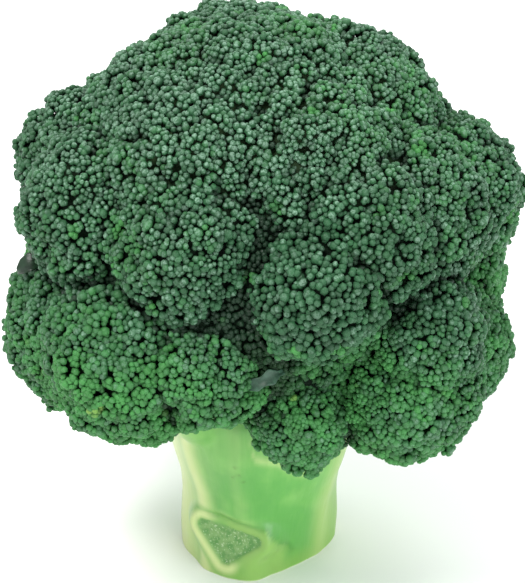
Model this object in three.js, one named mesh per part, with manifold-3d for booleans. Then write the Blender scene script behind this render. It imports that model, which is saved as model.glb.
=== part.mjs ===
// Broccoli head, standing on the cut end of its stalk.
// Millimetres, +Z up, the front towards -Y. The origin is the centre of the flat cut end.
// A dome of merged florets, covered by knobs of buds, sits on the branches of a pale stalk.
// A bearing is the angle round the stalk, from the front (-Y) towards +X, and a rise is the
// angle above the level, both in degrees.
import * as THREE from 'three';
import { ConvexGeometry } from 'three/addons/geometries/ConvexGeometry.js';
import { mergeVertices } from 'three/addons/utils/BufferGeometryUtils.js';
import Module from 'manifold-3d';

const wasm = await Module();
wasm.setup();

// Crown: the round form that the florets fill, and the smaller heart that they stand out of
const CROWN_MIDDLE = new THREE.Vector3(0, 0, 108);
const CROWN_HALF_WIDTH = 76;
const CROWN_HALF_HEIGHT = 65;
const HEART_HALF_WIDTH = 61;
const HEART_HALF_HEIGHT = 53;
const KNOB_PITCH = 6.5;
const KNOB_TIP = 1.3;
const KNOB_GROOVE = 1.6;
const KNOB_UNEVEN = 0.4;
const KNOB_DRIFT = 0.12;
const CLOSEST_PITCH = 0.72;
const UNDERSIDE_PITCH = 18;
const HIDDEN_DEPTH = 0.35;
const HEXAGON_SHARE = Math.sqrt(3) / 2;

// Florets: bearing, rise, radius, and how far each stands proud of the round form
const FLORETS = {
  top: [-130, 82, 48, 0],
  topLeft: [-96, 52, 32, -2],
  topRight: [110, 52, 27, 0],
  topBack: [-168, 45, 36, -0.5],
  topFrontLeft: [-42, 48, 30, -2],
  topFrontRight: [34, 50, 30, -3],
  left: [-68, 20, 24, 0],
  leftBack: [-104, 18, 21, 0.5],
  right: [96, 11, 22, 2],
  rightFront: [64, 22, 24, -2],
  middleLeft: [-26, 23, 23, -5],
  middleRight: [37, 24, 22, -1],
  centre: [16, 10, 18, -1],
  backLeft: [-140, 20, 26, -3],
  back: [178, 14, 24, 0],
  backRight: [136, 20, 26, -3],
  frontLeft: [-43, -18.5, 25, 6],
  farLeft: [-74, -24, 24, 7.5],
  frontRight: [51, -27, 20, 11],
  innerLeft: [-19, -17, 18, -3],
  innerRight: [50, -11, 18, 2],
  frontSmall: [15, -37, 13.5, 1],
  lowRight: [76, -28, 17, 9],
  rimRight: [104, -20, 23, 2],
  lowLeft: [-112, -20, 24, 2],
  lowBackLeft: [-146, -22, 25, 1],
  lowBack: [178, -24, 24, 1],
  lowBackRight: [138, -22, 25, 1],
};

// Underside: the hollow below the crown where the branches spread, as distance out and height
const HOLLOW_CEILING = [[0, 82], [18, 78], [32, 71], [42, 62], [50, 50]];
const HOLLOW_EDGE = [50, 20];
const HOLLOW_SIDES = 32;

// Stalk: half widths at heights above the cut end, with soft ribs that run up it. Its foot is
// flatter at the front right, as half widths at bearings, and is round again at FOOT_HEIGHT.
const STALK_PROFILE = [
  [-4, 23], [0, 23], [8, 23.3], [20, 23.3], [28, 24.2], [36, 26.4], [46, 28.5], [56, 28.5], [66, 25], [86, 15],
];
const FOOT_SECTION = [
  [-180, 23], [-97, 24.5], [-60, 23.2], [-26, 25], [-3, 24.2], [8, 21], [28, 19], [50, 18.8], [68, 20], [92, 23],
  [130, 23.5], [180, 23],
];
const FOOT_HEIGHT = 34;
const STALK_SIDES = 36;
const STALK_RINGS = 12;
const RIB_COUNT = 7;
const RIB_HEIGHT = 0.7;
const RIB_TWIST = 12;
const RIB_TWIST_HEIGHT = 150;

// Branches: each runs from inside the stalk into a floret that lies lower than BRANCH_RISE
const BRANCH_RISE = -17;
const BRANCH_ROOT_HEIGHT = 40;
const BRANCH_ROOT_OUT = 9;
const BRANCH_BEND_OUT = 0.62;
const BRANCH_BEND_HEIGHT = 55;
const BRANCH_RADIUS = [11, 7.5];
const BRANCH_STOP = 0.35;
const BRANCH_SIDES = 9;
const BRANCH_RINGS = 3;

// Leaf scar: the stub of a cut leaf stalk, low at the front left, with its flat sloping cut
const STUB_BEARING = -24;
const STUB_OUT = 13.5;
const STUB_HEIGHT = 13;
const STUB_HALF = [13, 13, 14];
const SCAR_OUT = 23.2;
const SCAR_LEAN = 6;
const SCAR_HALF = [11.5, 10];

// Bracts: small leaves in the creases. root, along and facing are bearings and rises: where the
// root is, which way the blade runs and which way its upper face looks. widths are half widths
// at shares of the length, and arch is how far the two ends bend back.
const BLADE_THICKNESS = 0.8;
const BLADE_POINTS = 14;
const BRACTS = {
  bract_front: {
    root: [7, -10.5], out: 60.5, along: [-63, -13], facing: [0, 30], length: 12, arch: 3.2, colour: 0x8fa893,
    widths: [[0, 0.7], [0.2, 0.9], [0.42, 2.4], [0.64, 1.2], [0.85, 2.1], [1, 0.6]],
  },
  bract_left: {
    root: [-79, 2], out: 62, along: [-72, -10], facing: [-20, 60], length: 10, arch: 2.4, colour: 0x26301f,
    widths: [[0, 0.7], [0.2, 1.4], [0.5, 2.9], [0.8, 2.5], [1, 0.8]],
  },
};

// Gap between pieces that meet, and round a bract
const GAP = 0.35;
const POCKET_MARGIN = 0.5;

const radians = THREE.MathUtils.degToRad;

// Unit vector along a bearing and a rise
function heading(bearing, rise) {
  const flat = Math.cos(radians(rise));
  return new THREE.Vector3(
    Math.sin(radians(bearing)) * flat,
    -Math.cos(radians(bearing)) * flat,
    Math.sin(radians(rise)),
  );
}

// Closed solid of a geometry, by its vertices alone
function solidOf(geometry) {
  const bare = geometry.clone();
  bare.deleteAttribute('normal');
  bare.deleteAttribute('uv');
  const merged = mergeVertices(bare, 1e-4);
  const vertProperties = new Float32Array(merged.attributes.position.array);
  const triVerts = new Uint32Array(merged.index.array);
  return new wasm.Manifold(new wasm.Mesh({ numProp: 3, vertProperties, triVerts }));
}

// Geometry of the largest body of a solid, so that loose scraps are dropped
function geometryOf(solid) {
  const bodies = solid.decompose().sort((a, b) => b.volume() - a.volume());
  const mesh = bodies[0].getMesh();
  const geometry = new THREE.BufferGeometry();
  geometry.setAttribute('position', new THREE.BufferAttribute(new Float32Array(mesh.vertProperties), 3));
  geometry.setIndex(new THREE.BufferAttribute(new Uint32Array(mesh.triVerts), 1));
  geometry.computeVertexNormals();
  return geometry;
}

// Every vertex of a geometry put where move says
function reshape(geometry, move) {
  const positions = geometry.attributes.position;
  const point = new THREE.Vector3();
  for (let i = 0; i < positions.count; i += 1) {
    point.fromBufferAttribute(positions, i);
    move(point);
    positions.setXYZ(i, point.x, point.y, point.z);
  }
  return geometry;
}

// Even, repeatable wobble between -1 and 1 for the thing numbered n
function wobble(n, kind) {
  return Math.sin(n * 12.9898 + kind * 78.233);
}

// Half width of the crown's round form along a rise
function crownReach(rise) {
  const flat = Math.cos(radians(rise)) / CROWN_HALF_WIDTH;
  const tall = Math.sin(radians(rise)) / CROWN_HALF_HEIGHT;
  return 1 / Math.hypot(flat, tall);
}

// Florets and the heart as ellipsoids: a centre and half sizes
function crownBodies() {
  const bodies = Object.values(FLORETS).map(([bearing, rise, radius, proud]) => ({
    centre: heading(bearing, rise).multiplyScalar(crownReach(rise) - radius + proud).add(CROWN_MIDDLE),
    half: new THREE.Vector3(radius, radius, radius),
  }));
  const half = new THREE.Vector3(HEART_HALF_WIDTH, HEART_HALF_WIDTH, HEART_HALF_HEIGHT);
  bodies.push({ centre: CROWN_MIDDLE.clone(), half });
  return bodies;
}

// Distance from the crown's middle to where a ray last leaves a body, or 0 where it misses
function farHit(direction, body) {
  const ray = direction.clone().divide(body.half);
  const start = CROWN_MIDDLE.clone().sub(body.centre).divide(body.half);
  const a = ray.dot(ray);
  const b = start.dot(ray);
  const c = start.dot(start) - 1;
  const root = b * b - a * c;
  return root < 0 ? 0 : (-b + Math.sqrt(root)) / a;
}

function surfaceReach(direction, bodies) {
  return Math.max(...bodies.map((body) => farHit(direction, body)));
}

// Evenly spread directions, as seeds are on a sunflower
function spiral(count) {
  const golden = Math.PI * (3 - Math.sqrt(5));
  return Array.from({ length: count }, (_, i) => {
    const z = 1 - (2 * i + 1) / count;
    const flat = Math.sqrt(1 - z * z);
    return new THREE.Vector3(flat * Math.cos(i * golden), flat * Math.sin(i * golden), z);
  });
}

// Whether a point lies in the hollow below the crown
function inHollow(point) {
  const out = Math.hypot(point.x, point.y);
  return out < HOLLOW_EDGE[0] && point.z < between(HOLLOW_CEILING, out);
}

// Directions of the knob tips, spread over each floret where it is the outermost body
function knobDirections(bodies) {
  const kept = [];
  for (const body of bodies) {
    const size = Math.cbrt(body.half.x * body.half.y * body.half.z);
    const count = Math.round((4 * Math.PI * size * size) / (HEXAGON_SHARE * KNOB_PITCH * KNOB_PITCH));
    const outward = body.centre.clone().sub(CROWN_MIDDLE);
    const turn = new THREE.Quaternion();
    if (outward.length() > 1) {
      turn.setFromUnitVectors(new THREE.Vector3(0, 0, 1), outward.normalize());
    }
    spiral(count).forEach((seed, i) => {
      const jitter = new THREE.Vector3(wobble(i, 1), wobble(i, 2), wobble(i, 3));
      seed.addScaledVector(jitter, (KNOB_DRIFT * KNOB_PITCH) / size).normalize().applyQuaternion(turn);
      const point = seed.multiply(body.half).add(body.centre);
      const away = point.clone().sub(CROWN_MIDDLE);
      const reach = away.length();
      const direction = away.normalize();
      const spacing = inHollow(point) ? UNDERSIDE_PITCH : CLOSEST_PITCH * KNOB_PITCH;
      const clear = kept.every((other) => other.point.distanceTo(point) > spacing);
      if (clear && reach > surfaceReach(direction, bodies) - HIDDEN_DEPTH) {
        kept.push({ point, direction });
      }
    });
  }
  return kept.map((knob) => knob.direction);
}

// Closed skin of six-sided knobs: a tip over each direction, and a groove between any three
function crownSkin() {
  const bodies = crownBodies();
  const net = mergeVertices(new ConvexGeometry(knobDirections(bodies)).deleteAttribute('normal'), 1e-7);
  const tips = net.attributes.position;
  const corners = net.index.array;
  const positions = [];
  const placed = (direction, height) => {
    const reach = surfaceReach(direction, bodies) + height;
    positions.push(...direction.clone().multiplyScalar(reach).add(CROWN_MIDDLE).toArray());
  };
  for (let i = 0; i < tips.count; i += 1) {
    placed(new THREE.Vector3().fromBufferAttribute(tips, i), KNOB_TIP + KNOB_UNEVEN * wobble(i, 4));
  }
  const edges = new Map();
  for (let face = 0; face < corners.length / 3; face += 1) {
    const ring = [0, 1, 2].map((k) => corners[face * 3 + k]);
    const groove = new THREE.Vector3();
    ring.forEach((tip) => groove.add(new THREE.Vector3().fromBufferAttribute(tips, tip)));
    placed(groove.normalize(), -KNOB_GROOVE);
    ring.forEach((tip, k) => edges.set(`${tip} ${ring[(k + 1) % 3]}`, tips.count + face));
  }
  const index = [];
  edges.forEach((groove, edge) => {
    const [from, to] = edge.split(' ').map(Number);
    index.push(from, edges.get(`${to} ${from}`), groove);
  });
  const skin = new THREE.BufferGeometry();
  skin.setAttribute('position', new THREE.Float32BufferAttribute(positions, 3));
  skin.setIndex(index);
  return skin;
}

// Solid of revolution under the crown that the branches stand in
function hollowSolid() {
  const corners = [[0, HOLLOW_EDGE[1]], HOLLOW_EDGE, ...[...HOLLOW_CEILING].reverse()];
  const profile = corners.map(([out, height]) => new THREE.Vector2(out, height));
  const lathe = new THREE.LatheGeometry(profile, HOLLOW_SIDES);
  return solidOf(lathe.rotateX(Math.PI / 2));
}

// Value at a place in rows of place and value
function between(rows, place) {
  const above = Math.max(1, rows.findIndex(([at]) => at >= place));
  const [lowAt, low] = rows[above - 1];
  const [highAt, high] = rows[above];
  return THREE.MathUtils.mapLinear(place, lowAt, highAt, low, high);
}

// Stalk's half width at a height and a bearing
function stalkReach(height, bearing) {
  const round = between(STALK_PROFILE, height);
  const foot = between(FOOT_SECTION, bearing) - between(STALK_PROFILE, 0);
  const fade = 1 - THREE.MathUtils.smoothstep(height, 0, FOOT_HEIGHT);
  return round + foot * fade;
}

// Main stalk with its ribs
function mainStalk(grow) {
  const bottom = STALK_PROFILE[0][0];
  const top = STALK_PROFILE[STALK_PROFILE.length - 1][0];
  const shaft = new THREE.CylinderGeometry(1, 1, top - bottom, STALK_SIDES, STALK_RINGS);
  shaft.rotateX(Math.PI / 2).translate(0, 0, (top + bottom) / 2);
  return solidOf(reshape(shaft, (point) => {
    const bearing = THREE.MathUtils.radToDeg(Math.atan2(point.x, -point.y));
    const twist = RIB_TWIST * wobble(point.z / RIB_TWIST_HEIGHT, 0);
    const rib = RIB_HEIGHT * Math.cos(RIB_COUNT * radians(bearing + twist));
    const reach = stalkReach(point.z, bearing) + rib + grow;
    point.x *= reach;
    point.y *= reach;
    point.z += point.z > top - 1 ? grow : 0;
  }));
}

// Tapered limb along a bent line that stays in one upright plane
function limb(bearing, start, bend, end, radii, grow) {
  const inPlane = ([out, height]) => heading(bearing, 0).multiplyScalar(out).setZ(height);
  const path = new THREE.QuadraticBezierCurve3(inPlane(start), inPlane(bend), inPlane(end));
  const side = heading(bearing + 90, 0);
  const rod = new THREE.CylinderGeometry(1, 1, 1, BRANCH_SIDES, BRANCH_RINGS);
  return solidOf(reshape(rod, (point) => {
    const along = point.y + 0.5;
    const tangent = path.getTangent(along);
    const over = new THREE.Vector3().crossVectors(side, tangent);
    const radius = THREE.MathUtils.lerp(radii[0], radii[1], along) + grow;
    const { x, z } = point;
    point.copy(path.getPoint(along)).addScaledVector(tangent, along > 0.99 ? grow : 0);
    point.addScaledVector(side, x * radius).addScaledVector(over, z * radius);
  }));
}

// Branches to the low florets
function branches(grow) {
  const lowFlorets = Object.values(FLORETS).filter(([, rise]) => rise < BRANCH_RISE);
  const solids = lowFlorets.map(([bearing, rise, radius, proud]) => {
    const reach = crownReach(rise) - radius + proud;
    const out = reach * Math.cos(radians(rise));
    const height = CROWN_MIDDLE.z + reach * Math.sin(radians(rise));
    const start = [BRANCH_ROOT_OUT, BRANCH_ROOT_HEIGHT];
    const bend = [out * BRANCH_BEND_OUT, BRANCH_BEND_HEIGHT];
    const end = [out - BRANCH_STOP * radius, height];
    return limb(bearing, start, bend, end, BRANCH_RADIUS, grow);
  });
  return solids.reduce((all, solid) => all.add(solid));
}

// Stub of the cut leaf stalk
function leafStub() {
  const stub = new THREE.SphereGeometry(1, 16, 12).scale(...STUB_HALF).rotateZ(radians(STUB_BEARING));
  const at = heading(STUB_BEARING, 0).multiplyScalar(STUB_OUT).setZ(STUB_HEIGHT);
  return solidOf(stub.translate(at.x, at.y, at.z));
}

// What lies in front of the oval scar, and everything below the cut end
function cutAway() {
  const depth = 60;
  const [wide, tall] = SCAR_HALF;
  const front = new THREE.CylinderGeometry(1, 1, depth, 24).scale(wide, 1, tall).translate(0, -depth / 2, 0);
  front.rotateX(radians(-SCAR_LEAN)).translate(0, -SCAR_OUT, STUB_HEIGHT).rotateZ(radians(STUB_BEARING));
  const below = new THREE.BoxGeometry(depth * 2, depth * 2, depth).translate(0, 0, -depth / 2);
  return solidOf(front).add(solidOf(below));
}

function stalkSolid(grow) {
  return mainStalk(grow).add(branches(grow));
}

// Blade of a bract: it runs along +X with its upper face to +Z, and arches
function bractGeometry({ length, arch, widths }) {
  const edge = new THREE.SplineCurve(widths.map(([share, half]) => new THREE.Vector2(share * length, half)));
  const upper = edge.getPoints(BLADE_POINTS);
  const lower = upper.map((point) => new THREE.Vector2(point.x, -point.y)).reverse();
  const blade = new THREE.ExtrudeGeometry(new THREE.Shape([...upper, ...lower]), {
    depth: BLADE_THICKNESS, steps: 1, bevelEnabled: false,
  });
  return reshape(blade, (point) => {
    point.z -= arch * (2 * point.x / length - 1) ** 2;
  });
}

// Bract mesh, turned and set at its root in the crown
function bract(name, spec) {
  const material = new THREE.MeshStandardMaterial({ color: spec.colour, roughness: 0.5, metalness: 0 });
  const mesh = new THREE.Mesh(geometryOf(solidOf(bractGeometry(spec))), material);
  const along = heading(...spec.along);
  const across = heading(...spec.facing).cross(along).normalize();
  const facing = new THREE.Vector3().crossVectors(along, across);
  mesh.name = name;
  mesh.position.copy(heading(...spec.root).multiplyScalar(spec.out).add(CROWN_MIDDLE));
  mesh.quaternion.setFromRotationMatrix(new THREE.Matrix4().makeBasis(along, across, facing));
  mesh.updateMatrixWorld();
  return mesh;
}

// Pocket that clears a bract all round
function pocket(mesh) {
  const geometry = mesh.geometry.clone().applyMatrix4(mesh.matrixWorld);
  const steps = [[1, 0, 0], [-1, 0, 0], [0, 1, 0], [0, -1, 0], [0, 0, 1], [0, 0, -1]];
  const cloud = [];
  for (let i = 0; i < geometry.attributes.position.count; i += 1) {
    const corner = new THREE.Vector3().fromBufferAttribute(geometry.attributes.position, i);
    steps.forEach((step) => cloud.push(corner.clone().addScaledVector(new THREE.Vector3(...step), POCKET_MARGIN)));
  }
  return solidOf(new ConvexGeometry(cloud));
}

const bracts = Object.entries(BRACTS).map(([name, spec]) => bract(name, spec));

const stalk = new THREE.Mesh(
  geometryOf(stalkSolid(0).add(leafStub()).subtract(cutAway())),
  new THREE.MeshStandardMaterial({ color: 0xb7d48a, roughness: 0.42, metalness: 0 }),
);
stalk.name = 'stalk';

const pockets = bracts.map(pocket).reduce((all, solid) => all.add(solid));
const crown = new THREE.Mesh(
  geometryOf(solidOf(crownSkin()).subtract(hollowSolid()).subtract(stalkSolid(GAP)).subtract(pockets)),
  new THREE.MeshStandardMaterial({ color: 0x3f6d4c, roughness: 0.7, metalness: 0 }),
);
crown.name = 'crown';

const group = new THREE.Group();
group.add(crown, stalk, ...bracts);

export default group;
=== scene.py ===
# Broccoli head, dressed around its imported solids: buds over every floret, the dark heart
# between them, the cut stalk with its branches, two small leaves, and a plain pale stage.
# Lengths are in metres. Values that are called mm are in millimetres and multiplied by MM.
# A bearing is the angle round the stalk, from the front (-Y) towards +X, and a rise is the
# angle above the level, both in degrees.
import math
import random

import bmesh
import bpy
from bpy.props import FloatProperty, FloatVectorProperty, IntProperty, PointerProperty
from mathutils import Matrix, Vector, kdtree, noise


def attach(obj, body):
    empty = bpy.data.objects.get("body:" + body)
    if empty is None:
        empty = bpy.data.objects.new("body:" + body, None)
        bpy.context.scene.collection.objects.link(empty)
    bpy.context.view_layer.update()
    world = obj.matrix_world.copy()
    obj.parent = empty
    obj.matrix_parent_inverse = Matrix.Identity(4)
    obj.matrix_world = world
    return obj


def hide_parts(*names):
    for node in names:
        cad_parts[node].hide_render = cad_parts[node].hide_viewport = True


bl_info = {
    "name": "Broccoli Head",
    "version": (1, 0, 0),
    "blender": (4, 5, 0),
    "location": "View3D > Sidebar > Broccoli",
    "description": "Buds, stalk, branches and small leaves of a broccoli head",
    "category": "Object",
}

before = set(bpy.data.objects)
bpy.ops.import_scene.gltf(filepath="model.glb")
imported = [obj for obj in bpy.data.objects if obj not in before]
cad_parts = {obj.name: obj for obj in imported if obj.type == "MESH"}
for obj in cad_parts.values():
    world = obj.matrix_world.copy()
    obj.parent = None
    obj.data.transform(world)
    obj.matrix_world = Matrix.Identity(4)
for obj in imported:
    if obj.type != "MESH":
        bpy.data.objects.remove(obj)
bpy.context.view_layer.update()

MM = 0.001
TOUCHING = 0.01 * MM
SEED = 7
GOLDEN_ANGLE = math.pi * (3 - math.sqrt(5))
HEXAGON_SHARE = math.sqrt(3) / 2

# Crown: the round form that the florets fill, and the heart that they stand out of, in mm
CROWN_MIDDLE = Vector((0, 0, 108)) * MM
CROWN_HALF = (76, 65)
HEART_HALF = (61, 53)

# Point inside the stalk that the florets' stems run from
BRANCH_ROOT = Vector((0, 0, 62)) * MM

# Florets: bearing, rise, radius and how far each stands proud of the round form, in mm
FLORETS = {
    "top": (-130, 82, 48, 0),
    "top_left": (-96, 52, 32, -2),
    "top_right": (110, 52, 27, 0),
    "top_back": (-168, 45, 36, -0.5),
    "top_front_left": (-42, 48, 30, -2),
    "top_front_right": (34, 50, 30, -3),
    "left": (-68, 20, 24, 0),
    "left_back": (-104, 18, 21, 0.5),
    "right": (96, 11, 22, 2),
    "right_front": (64, 22, 24, -2),
    "middle_left": (-26, 23, 23, -5),
    "middle_right": (37, 24, 22, -1),
    "centre": (16, 10, 18, -1),
    "back_left": (-140, 20, 26, -3),
    "back": (178, 14, 24, 0),
    "back_right": (136, 20, 26, -3),
    "front_left": (-43, -18.5, 25, 6),
    "far_left": (-74, -24, 24, 7.5),
    "front_right": (48, -28, 21, 10.5),
    "inner_left": (-19, -17, 18, -3),
    "inner_right": (50, -11, 18, 2),
    "front_small": (14, -36, 13.5, 1),
    "low_right": (76, -28, 17, 9),
    "rim_right": (104, -20, 23, 2),
    "low_left": (-112, -20, 24, 2),
    "low_back_left": (-146, -22, 25, 1),
    "low_back": (178, -24, 24, 1),
    "low_back_right": (138, -22, 25, 1),
}

# Pieces that the buds are grouped in
BUD_PIECES = {
    "buds_top": ("top", "top_back"),
    "buds_shoulders": ("top_left", "top_right", "top_front_left", "top_front_right"),
    "buds_left": ("left", "left_back", "far_left", "low_left"),
    "buds_right": ("right", "right_front", "low_right", "front_right", "inner_right"),
    "buds_front": ("middle_left", "middle_right", "centre", "front_left", "inner_left", "front_small"),
    "buds_back_left": ("back_left", "low_back_left", "low_back"),
    "buds_back_right": ("back", "back_right", "low_back_right", "rim_right"),
}

# Hollow below the crown, as distance out and height of its ceiling, in mm
HOLLOW_CEILING = ((0, 82), (18, 78), (32, 71), (42, 62), (50, 50))
HOLLOW_FLOOR = 20


def between(rows, place):
    """Value at a place in rows of place and value."""
    for (low_at, low), (high_at, high) in zip(rows, rows[1:]):
        if place <= high_at:
            return low + (high - low) * max(0.0, (place - low_at) / (high_at - low_at))
    return rows[-1][1]


def smooth(low, high, value):
    """Smooth step of a value from 0 at low to 1 at high."""
    share = min(1.0, max(0.0, (value - low) / (high - low)))
    return share * share * (3 - 2 * share)


def bell(distance, width):
    """Bell curve that is 1 at no distance and nearly 0 from two widths on."""
    return math.exp(-((distance / width) ** 2))


def heading(bearing, rise):
    """Unit vector along a bearing and a rise."""
    turn, lift = math.radians(bearing), math.radians(rise)
    return Vector((math.sin(turn) * math.cos(lift), -math.cos(turn) * math.cos(lift), math.sin(lift)))


def bearing_of(point):
    """Bearing of a point from the stalk's axis."""
    return math.degrees(math.atan2(point.x, -point.y))


def spiral(count):
    """Evenly spread directions, as seeds are on a sunflower."""
    for i in range(count):
        height = 1 - (2 * i + 1) / count
        flat = math.sqrt(1 - height * height)
        yield Vector((flat * math.cos(i * GOLDEN_ANGLE), flat * math.sin(i * GOLDEN_ANGLE), height))


def crown_reach(rise):
    """Half width of the crown's round form along a rise, in mm."""
    flat = math.cos(math.radians(rise)) / CROWN_HALF[0]
    tall = math.sin(math.radians(rise)) / CROWN_HALF[1]
    return 1 / math.hypot(flat, tall)


def floret_balls():
    """Centre and radius of each floret, by name."""
    balls = {}
    for name, (bearing, rise, radius, proud) in FLORETS.items():
        reach = crown_reach(rise) - radius + proud
        balls[name] = (CROWN_MIDDLE + heading(bearing, rise) * reach * MM, radius * MM)
    return balls


def in_hollow(point):
    """Whether a point lies in the hollow below the crown."""
    out = math.hypot(point.x, point.y) / MM
    return out < HOLLOW_CEILING[-1][0] and point.z / MM < between(HOLLOW_CEILING, out)


# Mesh helpers


def add_object(name, mesh):
    piece = bpy.data.objects.new(name, mesh)
    bpy.context.scene.collection.objects.link(piece)
    return piece


def mesh_from(bm, name):
    mesh = bpy.data.meshes.new(name)
    bm.to_mesh(mesh)
    bm.free()
    return mesh


def apply_all(piece):
    """Turns a piece with modifiers into a plain mesh, in place."""
    graph = bpy.context.evaluated_depsgraph_get()
    shaped = bpy.data.meshes.new_from_object(
        piece.evaluated_get(graph), preserve_all_data_layers=True, depsgraph=graph
    )
    old = piece.data
    piece.modifiers.clear()
    piece.data = shaped
    if isinstance(old, bpy.types.Mesh) and old.users == 0:
        bpy.data.meshes.remove(old)
    shaped.name = piece.name


def remeshed(piece, voxel, smoothing):
    """Turns everything in a piece into one even skin, in place."""
    skin = piece.modifiers.new("Skin", "REMESH")
    skin.mode = "VOXEL"
    skin.voxel_size = voxel
    skin.use_smooth_shade = True
    ease = piece.modifiers.new("Ease", "SMOOTH")
    ease.factor = 0.5
    ease.iterations = smoothing
    apply_all(piece)


def float_layer(bm, name):
    return bm.verts.layers.float.get(name) or bm.verts.layers.float.new(name)


# Shader helpers


def feed(tree, made, ends):
    """Links sockets to a node's inputs, or sets values on them."""
    for key, end in ends.items():
        if isinstance(end, bpy.types.NodeSocket):
            tree.links.new(end, made.inputs[key])
        else:
            made.inputs[key].default_value = end
    return made


def add_node(tree, kind, ends=None, **settings):
    """Adds a node, with settings on it, and sockets or values on its inputs."""
    made = tree.nodes.new(kind)
    for key, value in settings.items():
        setattr(made, key, value)
    return feed(tree, made, ends or {})


def mix_colours(tree, share, first, second):
    """Colour between two colours or sockets, by a socket or a number."""
    return add_node(tree, "ShaderNodeMix", {0: share, 6: first, 7: second}, data_type="RGBA").outputs[2]


def arithmetic(tree, operation, first, second):
    """Result of a Math node on two sockets or numbers."""
    return add_node(tree, "ShaderNodeMath", {0: first, 1: second}, operation=operation).outputs[0]


def ranged(tree, value, low, high, to_low=0.0, to_high=1.0):
    """Value of a socket moved from one range to another, and kept inside it."""
    ends = {"Value": value, "From Min": low, "From Max": high, "To Min": to_low, "To Max": to_high}
    return add_node(tree, "ShaderNodeMapRange", ends, interpolation_type="SMOOTHSTEP").outputs["Result"]


def painted(tree, name):
    """Factor of a named attribute of the mesh."""
    return add_node(tree, "ShaderNodeAttribute", attribute_name=name).outputs["Fac"]


def begin_group(name, inputs, outputs):
    """Empty shader group with named float inputs and outputs."""
    tree = bpy.data.node_groups.new(name, "ShaderNodeTree")
    for label, default in inputs.items():
        socket = tree.interface.new_socket(label, in_out="INPUT", socket_type="NodeSocketFloat")
        socket.default_value = default
    for label in outputs:
        tree.interface.new_socket(label, in_out="OUTPUT", socket_type="NodeSocketFloat")
    return tree, tree.nodes.new("NodeGroupInput"), tree.nodes.new("NodeGroupOutput")


def mottle_group():
    """Soft uneven patches, put out as a mask, and their fine grain."""
    name = "Leafy mottle"
    if name in bpy.data.node_groups:
        return bpy.data.node_groups[name]
    tree, entry, leave = begin_group(name, {"Scale": 100.0, "Grain": 900.0}, ("Mask", "Grain"))
    place = add_node(tree, "ShaderNodeTexCoord").outputs["Object"]
    coarse = {"Vector": place, "Scale": entry.outputs["Scale"], "Detail": 3.0, "Roughness": 0.55}
    fine = {"Vector": place, "Scale": entry.outputs["Grain"], "Detail": 2.0, "Roughness": 0.6}
    patches, grain = (add_node(tree, "ShaderNodeTexNoise", ends).outputs["Fac"] for ends in (coarse, fine))
    feed(tree, leave, {"Mask": ranged(tree, patches, 0.32, 0.68), "Grain": grain})
    return tree


def fibre_group():
    """Fine lines that run up a stalk, put out as a mask."""
    name = "Stalk fibres"
    if name in bpy.data.node_groups:
        return bpy.data.node_groups[name]
    tree, entry, leave = begin_group(name, {"Across": 260.0, "Along": 14.0}, ("Mask",))
    place = add_node(tree, "ShaderNodeTexCoord").outputs["Object"]
    across, along = entry.outputs["Across"], entry.outputs["Along"]
    stretch = add_node(tree, "ShaderNodeCombineXYZ", {"X": across, "Y": across, "Z": along})
    ends = {0: place, 1: stretch.outputs["Vector"]}
    scaled = add_node(tree, "ShaderNodeVectorMath", ends, operation="MULTIPLY")
    ends = {"Vector": scaled.outputs["Vector"], "Scale": 1.0, "Detail": 4.0, "Roughness": 0.6}
    lines = add_node(tree, "ShaderNodeTexNoise", ends)
    feed(tree, leave, {"Mask": ranged(tree, lines.outputs["Fac"], 0.3, 0.7)})
    return tree


def use_group(tree, group, values):
    return add_node(tree, "ShaderNodeGroup", values, node_tree=group)


def begin_material(name, values):
    """New material, with values on its surface."""
    material = bpy.data.materials.new(name)
    material.use_nodes = True
    tree = material.node_tree
    return material, tree, feed(tree, tree.nodes["Principled BSDF"], values)


def add_bump(tree, surface, height, strength, distance):
    ends = {"Height": height, "Strength": strength, "Distance": distance}
    feed(tree, surface, {"Normal": add_node(tree, "ShaderNodeBump", ends).outputs["Normal"]})


def opaque(colour):
    return (*colour, 1.0)


# Settings that a user would change


class BudSettings(bpy.types.PropertyGroup):
    pitch: FloatProperty(
        name="Bud pitch", description="Distance between neighbouring buds", default=1.77 * MM, unit="LENGTH"
    )
    width: FloatProperty(
        name="Bud width", description="Width of a usual bud", default=2.1 * MM, unit="LENGTH"
    )
    length: FloatProperty(
        name="Bud length", description="Length of a bud as a share of its width", default=1.3
    )
    cluster_pitch: FloatProperty(
        name="Cluster pitch", description="Distance between clusters of buds", default=9.5 * MM, unit="LENGTH"
    )
    cluster_radius: FloatProperty(
        name="Cluster radius", description="Radius of a cluster's round top", default=6.6 * MM, unit="LENGTH"
    )
    cluster_sink: FloatProperty(
        name="Cluster sink", description="Depth of a cluster's middle below its floret", default=5.0 * MM,
        unit="LENGTH",
    )
    tuft_size: FloatProperty(
        name="Tuft size", description="Width of the small tufts within a cluster", default=4.6 * MM,
        unit="LENGTH",
    )
    tuft_depth: FloatProperty(
        name="Tuft depth", description="Depth of the gaps between tufts", default=1.3 * MM, unit="LENGTH"
    )
    tuft_pull: FloatProperty(
        name="Tuft pull", description="Share of the way that buds close up to their tuft's middle",
        default=0.14,
    )
    seed: IntProperty(name="Seed", description="Seed of every random draw", default=SEED)
    # Painted shade: this dark green darkens each bud's foot and the buds in grooves, tufts and creases
    shade: FloatVectorProperty(
        name="Shade", description="Dark green low on a bud", default=(0.002, 0.01, 0.004), subtype="COLOR"
    )
    body: FloatVectorProperty(
        name="Body", description="Bluish green of a bud", default=(0.0255, 0.095, 0.039), subtype="COLOR"
    )
    # The pale bloom on the tips is partly the buds' own wax and partly a painted highlight
    bloom: FloatVectorProperty(
        name="Bloom", description="Pale waxy green of a bud's tip", default=(0.15, 0.26, 0.183),
        subtype="COLOR",
    )
    fresh: FloatVectorProperty(
        name="Fresh", description="Lively green of young buds", default=(0.048, 0.208, 0.05), subtype="COLOR"
    )


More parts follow.
